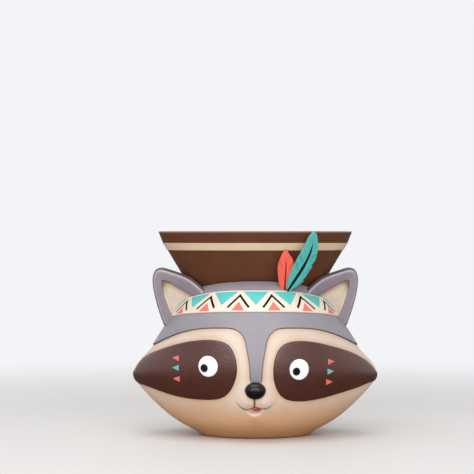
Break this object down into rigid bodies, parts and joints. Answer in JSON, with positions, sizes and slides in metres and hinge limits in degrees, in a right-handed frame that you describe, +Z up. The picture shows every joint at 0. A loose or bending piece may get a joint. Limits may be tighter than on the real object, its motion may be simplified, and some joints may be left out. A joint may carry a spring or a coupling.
{
  "type": "animal shaped planter",
  "caption": "Raccoon head planter: a painted hollow head with ears, headband and feathers, and an oval liner pot with a drain plug that lifts out of it.",
  "frame": {"origin": "centre of the flat underside, on the surface it stands on", "axes": "+X to the viewer's right, -Y out of the animal's face, +Z up"},
  "size_m": [0.2447, 0.1804, 0.2027],
  "materials": {
    "cream_resin": "hand painted cream resin, satin",
    "grey_paint": "hand painted grey, matt",
    "band_ground": "cream white paint",
    "band_teal": "turquoise paint",
    "band_coral": "coral paint",
    "dark_line": "near black paint line",
    "ear_grey": "hand painted grey, matt",
    "ear_cream": "cream paint, brushed darker in the corners",
    "patch_brown": "dark brown satin paint",
    "eye_white": "white gloss paint",
    "pupil_black": "black gloss paint",
    "nose_black": "black semi gloss paint",
    "mouth_pink": "pink paint",
    "mark_coral": "coral paint",
    "mark_teal": "turquoise paint",
    "feather_coral_paint": "coral paint, satin",
    "feather_teal_paint": "teal paint, satin",
    "quill_red": "dark red line",
    "quill_dark": "near black line",
    "pot_brown": "brown painted resin, satin",
    "stripe_cream": "cream paint",
    "plug_rubber": "soft black rubber"
  },
  "bodies": {
    "head": {"head_shell": "cream_resin", "crown_cap": "grey_paint", "headband": "band_ground", "band_teal_triangles": "band_teal", "band_coral_triangles": "band_coral", "band_chevrons": "dark_line", "ear_left": "ear_grey", "ear_right": "ear_grey", "ear_lining_left": "ear_cream", "ear_lining_right": "ear_cream", "eye_patch_left": "patch_brown", "eye_patch_right": "patch_brown", "eye_white_left": "eye_white", "eye_white_right": "eye_white", "pupil_left": "pupil_black", "pupil_right": "pupil_black", "nose": "nose_black", "tongue": "mouth_pink", "cheek_marks_coral": "mark_coral", "cheek_marks_teal": "mark_teal", "feather_coral": "feather_coral_paint", "feather_teal": "feather_teal_paint", "quill_coral": "quill_red", "quill_teal": "quill_dark"},
    "pot": {"pot": "pot_brown", "pot_stripe": "stripe_cream"},
    "plug": {"drain_plug": "plug_rubber"}
  },
  "joints": [
    {"name": "pot_lift", "type": "slide", "parent": "head", "child": "pot", "axis": [0, 0, 1], "range_m": [0, 0.17]},
    {"name": "plug_pull", "type": "slide", "parent": "pot", "child": "plug", "axis": [0, 0, -1], "range_m": [0, 0.008]}
  ]
}
